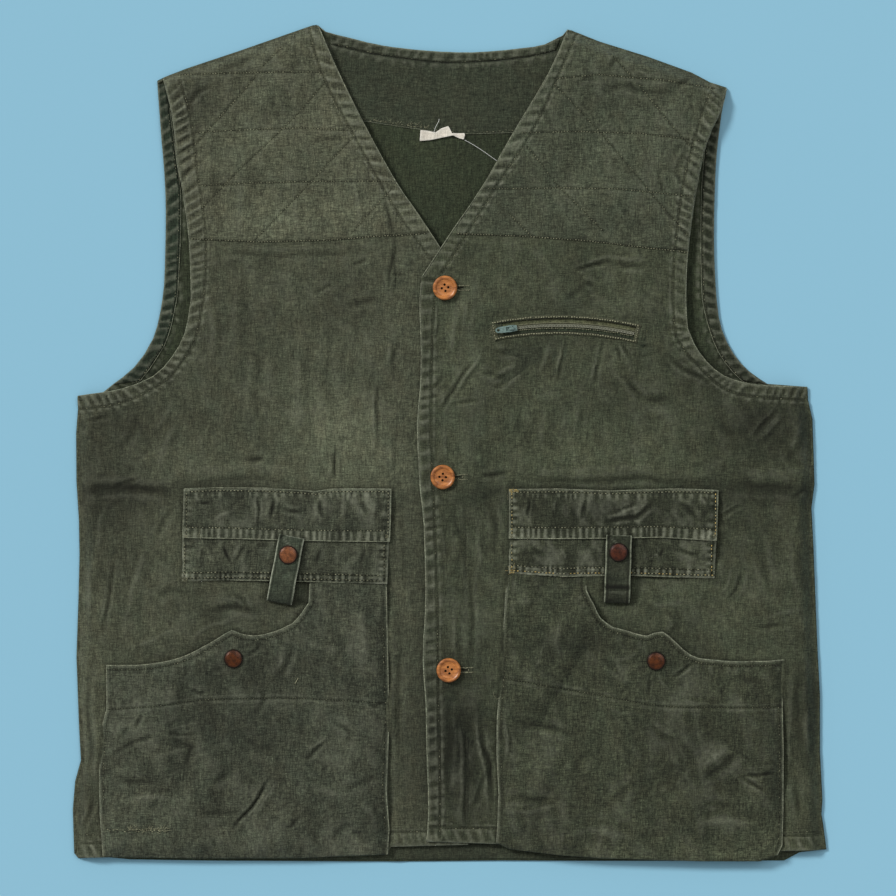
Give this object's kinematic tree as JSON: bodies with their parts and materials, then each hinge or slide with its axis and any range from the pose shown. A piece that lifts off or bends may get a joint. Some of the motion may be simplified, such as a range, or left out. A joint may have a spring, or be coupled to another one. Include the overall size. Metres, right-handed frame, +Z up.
{
  "type": "fishing vest",
  "caption": "Sleeveless button-front cotton utility vest lying flat, with quilted shoulders, a zipped chest pocket, strapped small pockets and large snap pouches.",
  "frame": {"origin": "middle of the underside of the back panel, on the surface that the vest lies on", "axes": "+X towards the wearer's left, +Y towards the neck, +Z up out of the fronts"},
  "size_m": [0.6188, 0.6872, 0.0225],
  "materials": {
    "shell_cloth": "washed cotton twill, dark olive green, faded and creased",
    "inner_cloth": "wrong side of the same twill, darker and greener",
    "snap_metal": "antique copper-brown lacquered cap, worn at the crown",
    "snap_inner_metal": "dull brass",
    "button_resin": "tan-orange four-hole resin, satin",
    "sewing_thread": "dark olive sewing thread",
    "zip_tape": "woven zip tape, olive",
    "zip_chain": "moulded teeth, grey-olive",
    "zip_enamel": "pale teal enamel, chipped at the edges",
    "label_tape": "off-white woven tape, blank",
    "white_thread": "loose white sewing thread"
  },
  "bodies": {
    "root": {"back_panel": "shell_cloth", "right_front_panel": "shell_cloth", "left_front_panel": "shell_cloth", "right_shoulder_yoke": "shell_cloth", "left_shoulder_yoke": "shell_cloth", "right_neck_facing": "shell_cloth", "left_neck_facing": "shell_cloth", "right_front_armhole_facing": "shell_cloth", "left_front_armhole_facing": "shell_cloth", "right_button_stand": "shell_cloth", "left_buttonhole_facing": "shell_cloth", "right_front_hem": "shell_cloth", "left_front_hem": "shell_cloth", "back_hem": "shell_cloth", "right_side_seam": "shell_cloth", "left_side_seam": "shell_cloth", "right_shoulder_seam": "shell_cloth", "left_shoulder_seam": "shell_cloth", "right_pocket_patch": "shell_cloth", "left_pocket_patch": "shell_cloth", "right_pocket_band": "shell_cloth", "left_pocket_band": "shell_cloth", "right_pouch_pocket": "shell_cloth", "left_pouch_pocket": "shell_cloth", "right_pouch_facing": "shell_cloth", "left_pouch_facing": "shell_cloth", "right_strap_tab": "shell_cloth", "left_strap_tab": "shell_cloth", "zip_welt": "shell_cloth", "back_yoke_lining": "inner_cloth", "back_neck_facing": "inner_cloth", "right_back_armhole_facing": "inner_cloth", "left_back_armhole_facing": "inner_cloth", "zip_pocket_bag": "inner_cloth", "pouch_snap_caps": "snap_metal", "strap_snap_studs": "snap_inner_metal", "pouch_snap_sockets": "snap_inner_metal", "pouch_snap_studs": "snap_inner_metal", "buttons": "button_resin", "button_threads": "sewing_thread", "zip_upper_tape": "zip_tape", "zip_lower_tape": "zip_tape", "zip_upper_teeth": "zip_chain", "zip_lower_teeth": "zip_chain", "zip_stops": "zip_chain", "neck_label": "label_tape", "loose_thread": "white_thread"},
    "zip_slider": {"zip_slider": "zip_enamel"},
    "zip_pull": {"zip_pull": "zip_enamel"},
    "right_strap": {"right_strap_flap": "shell_cloth", "right_strap_snap_cap": "snap_metal", "right_strap_snap_socket": "snap_inner_metal"},
    "left_strap": {"left_strap_flap": "shell_cloth", "left_strap_snap_cap": "snap_metal", "left_strap_snap_socket": "snap_inner_metal"}
  },
  "joints": [
    {"name": "zip_travel", "type": "hinge", "parent": "root", "child": "zip_slider", "pos_m": [0.08939, -0.19133, 0.0095], "axis": [0, 0, -1], "range_deg": [0, 19]},
    {"name": "zip_pull_swing", "type": "hinge", "parent": "zip_slider", "child": "zip_pull", "pos_m": [0.05072, 0.09381, 0.0129], "axis": [-0.1344, 0.9909, 0], "range_deg": [0, 180]},
    {"name": "right_strap_swing", "type": "hinge", "parent": "root", "child": "right_strap", "pos_m": [-0.13953, -0.12956, 0.0099], "axis": [0.9816, -0.1908, 0], "range_deg": [0, 130]},
    {"name": "left_strap_swing", "type": "hinge", "parent": "root", "child": "left_strap", "pos_m": [0.13681, -0.12956, 0.0121], "axis": [0.9995, -0.0314, 0], "range_deg": [0, 130]}
  ]
}
